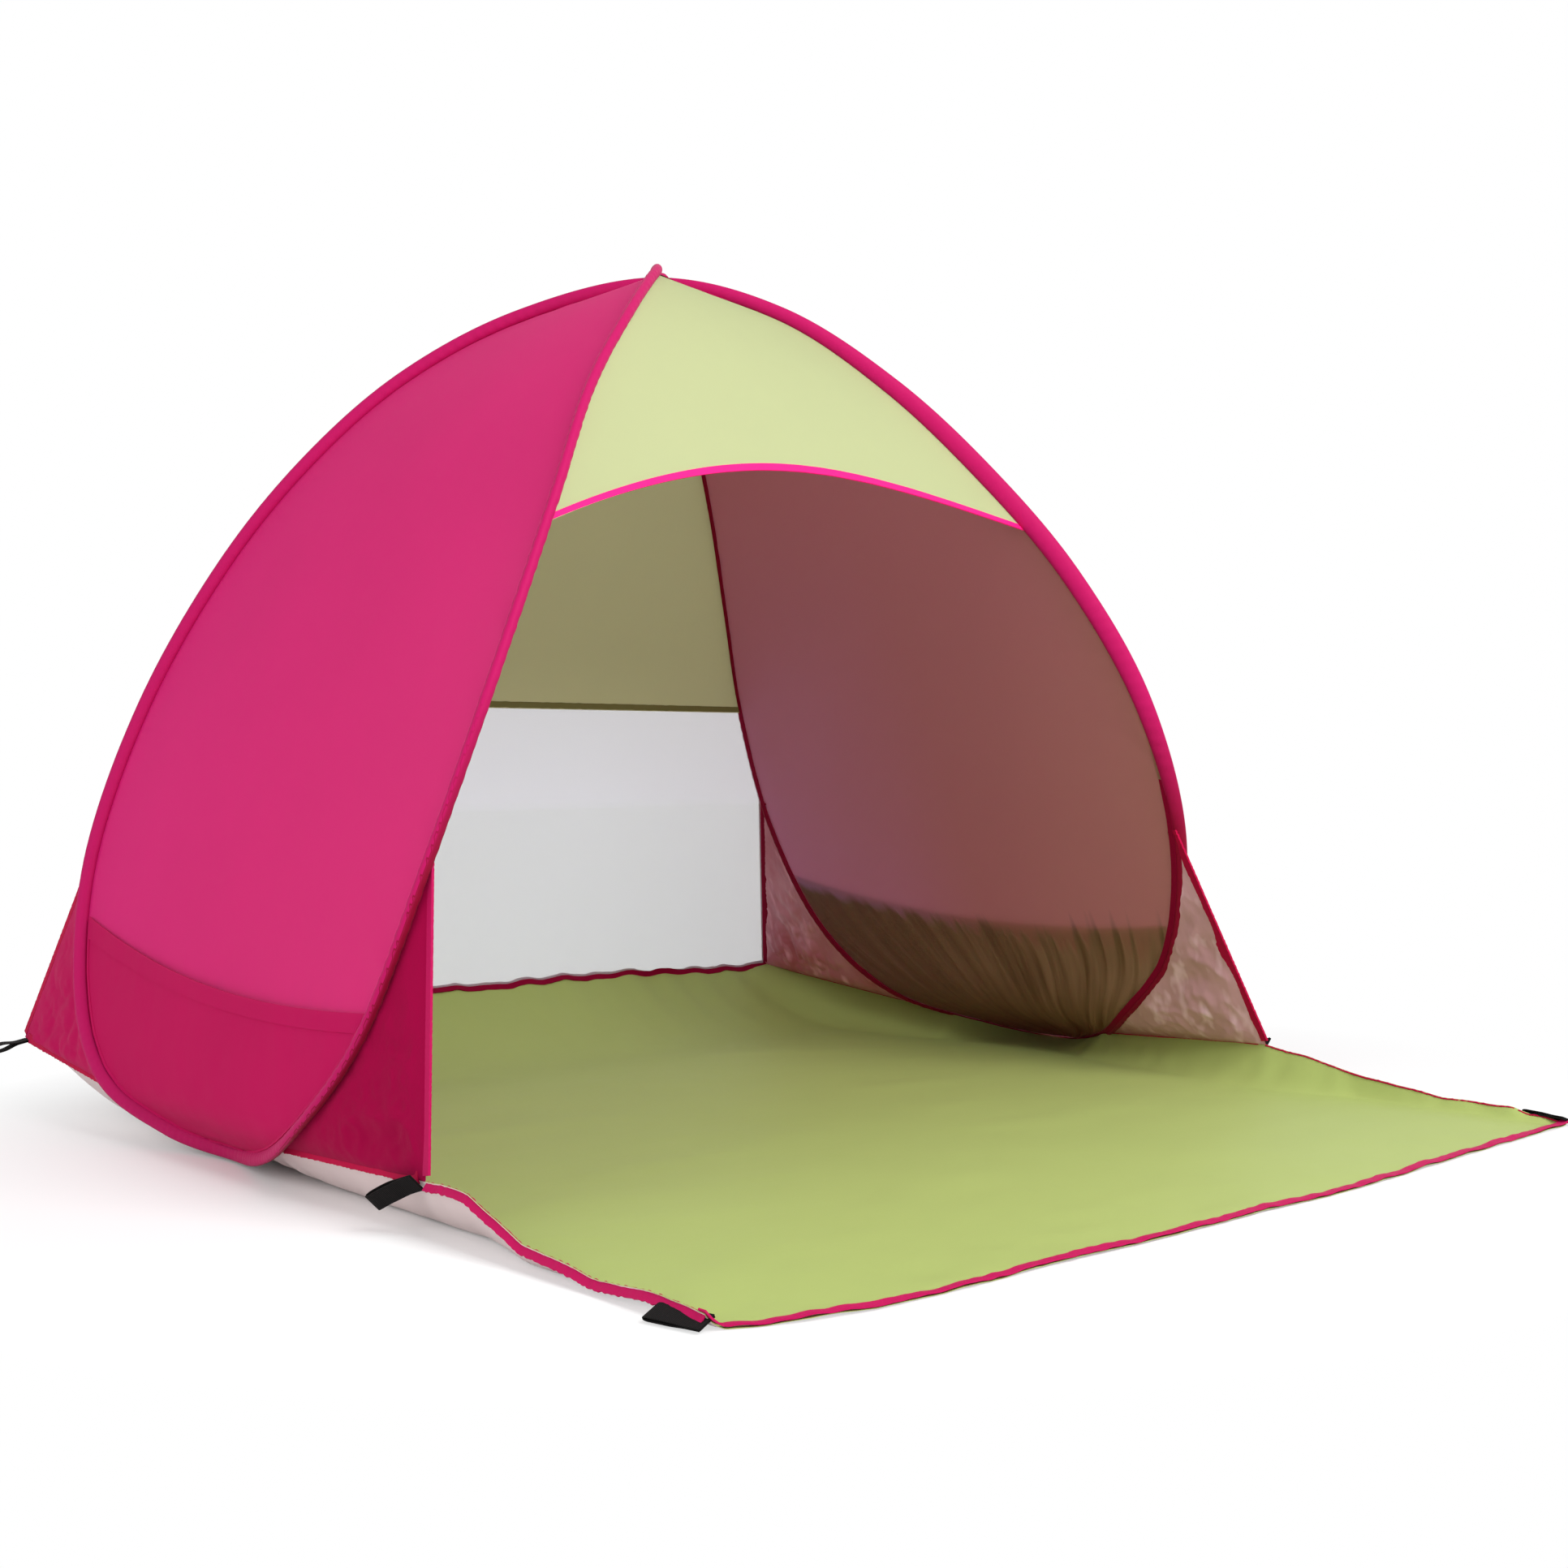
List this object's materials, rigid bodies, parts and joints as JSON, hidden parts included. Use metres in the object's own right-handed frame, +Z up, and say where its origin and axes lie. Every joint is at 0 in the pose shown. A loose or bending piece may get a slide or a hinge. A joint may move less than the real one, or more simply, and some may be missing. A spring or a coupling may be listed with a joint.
{
  "type": "beach tent",
  "caption": "Pop-up beach tent on crossed loops of spring wire, with an open arched doorway, sheer rear window, side pockets, peg loops and a front mat that folds up.",
  "frame": {"origin": "on the ground below the crossing of the spring wire, between its two feet, in the plane of the groundsheet's flat underside", "axes": "+X to the right of someone looking in at the doorway, +Y to the back of the tent, +Z up"},
  "size_m": [1.8433, 1.9367, 1.3718],
  "materials": {
    "spring_steel": "drawn spring wire",
    "sleeve_polyester": "thin pink polyester, puckered or creased",
    "pink_polyester": "taut plain-woven polyester with a coated inner face",
    "pale_lime_polyester": "taut lime polyester",
    "lime_cloth": "lime cloth, coated on one face",
    "olive_hem": "folded hem with small gathers",
    "sheer_window": "fine pale grey sheer cloth",
    "webbing": "woven webbing",
    "binding_polyester": "folded pink edge tape"
  },
  "bodies": {
    "tent": {"apex_knot": "binding_polyester", "apex_tie": "binding_polyester", "back_canopy": "lime_cloth", "back_canopy_hem": "olive_hem", "door_header_tape": "binding_polyester", "ear_binding_left": "binding_polyester", "ear_binding_right": "binding_polyester", "floor_back_binding": "binding_polyester", "floor_seam_back_left": "binding_polyester", "floor_seam_back_right": "binding_polyester", "floor_seam_front_left": "binding_polyester", "floor_seam_front_right": "binding_polyester", "floor_sheet": "lime_cloth", "front_canopy": "pale_lime_polyester", "gusset_back_left": "sleeve_polyester", "gusset_back_right": "sleeve_polyester", "gusset_front_left": "sleeve_polyester", "gusset_front_right": "sleeve_polyester", "gusset_tape_back_left": "binding_polyester", "gusset_tape_back_right": "binding_polyester", "gusset_tape_front_left": "binding_polyester", "gusset_tape_front_right": "binding_polyester", "peg_loop_left_back": "webbing", "peg_loop_left_front": "webbing", "peg_loop_right_back": "webbing", "peg_loop_right_front": "webbing", "pocket_hem_left": "binding_polyester", "pocket_hem_right": "binding_polyester", "rear_window": "sheer_window", "side_panel_left": "pink_polyester", "side_panel_right": "pink_polyester", "side_pocket_left": "pink_polyester", "side_pocket_right": "pink_polyester", "sleeve_left": "sleeve_polyester", "sleeve_right": "sleeve_polyester", "spring_wire": "spring_steel", "wire_ferrule": "spring_steel"},
    "mat": {"front_mat": "lime_cloth", "mat_front_binding": "binding_polyester", "mat_side_binding_left": "binding_polyester", "mat_side_binding_right": "binding_polyester", "peg_loop_left_outer": "webbing", "peg_loop_right_outer": "webbing"}
  },
  "joints": [
    {"name": "mat_fold", "type": "hinge", "parent": "tent", "child": "mat", "pos_m": [0, -0.6054, 0.002], "axis": [-1, 0, 0], "range_deg": [0, 90]}
  ]
}
